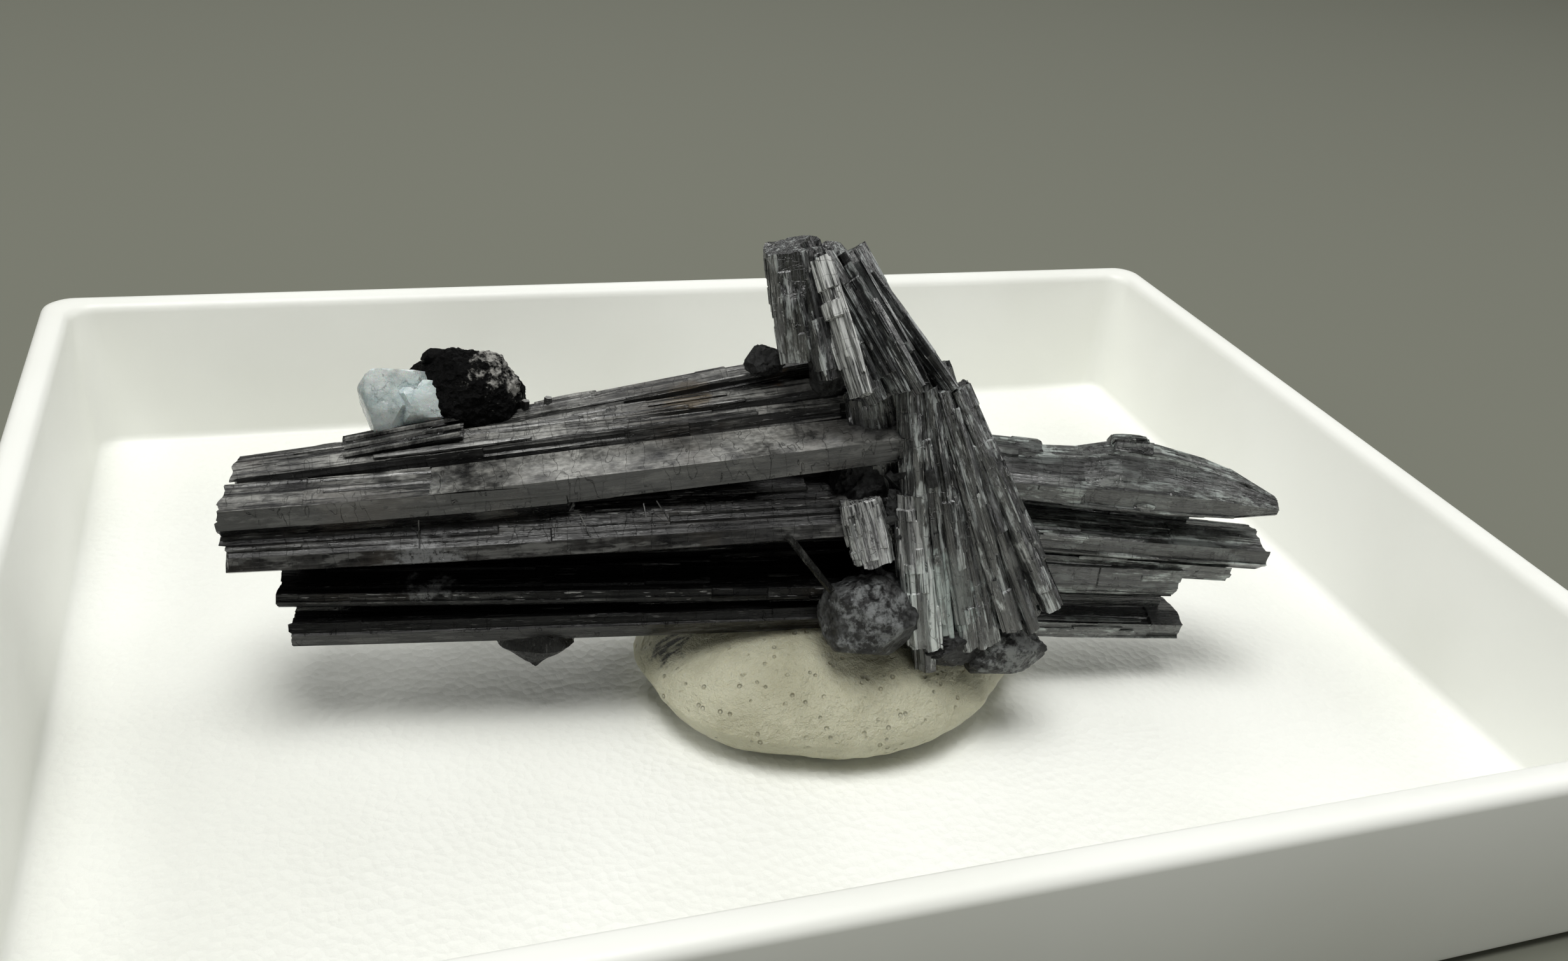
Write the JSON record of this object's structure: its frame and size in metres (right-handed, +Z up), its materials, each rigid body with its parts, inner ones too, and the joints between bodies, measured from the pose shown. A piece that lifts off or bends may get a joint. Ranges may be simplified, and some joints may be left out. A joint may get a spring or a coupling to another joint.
{
  "type": "schorl specimen",
  "caption": "Sheaf of black tourmaline crystals crossed by one steep crystal, pressed into putty on the floor of a small open white box.",
  "frame": {"origin": "middle of the box's flat underside", "axes": "+Z up out of the box, +X along the box's long side towards the sheaf's pointed end, +Y to the back of the box"},
  "size_m": [0.0636, 0.048, 0.0217],
  "materials": {
    "white_plastic": "fine leather grain on the floor, smooth satin walls",
    "putty": "soft ivory putty with fine pores and a faint sheen",
    "schorl": "near-black and glossy, fluted along each crystal, rusty in the hollows",
    "pale_mineral": "pale blue-white, cloudy and see-through at thin edges",
    "dark_granular": "black, finely granular, grey glints on its upper edge"
  },
  "bodies": {
    "root": {"box_base": "white_plastic", "mineral_tack": "putty", "schorl_cluster": "schorl", "pale_crystal": "pale_mineral", "granular_lump": "dark_granular"}
  },
  "joints": []
}
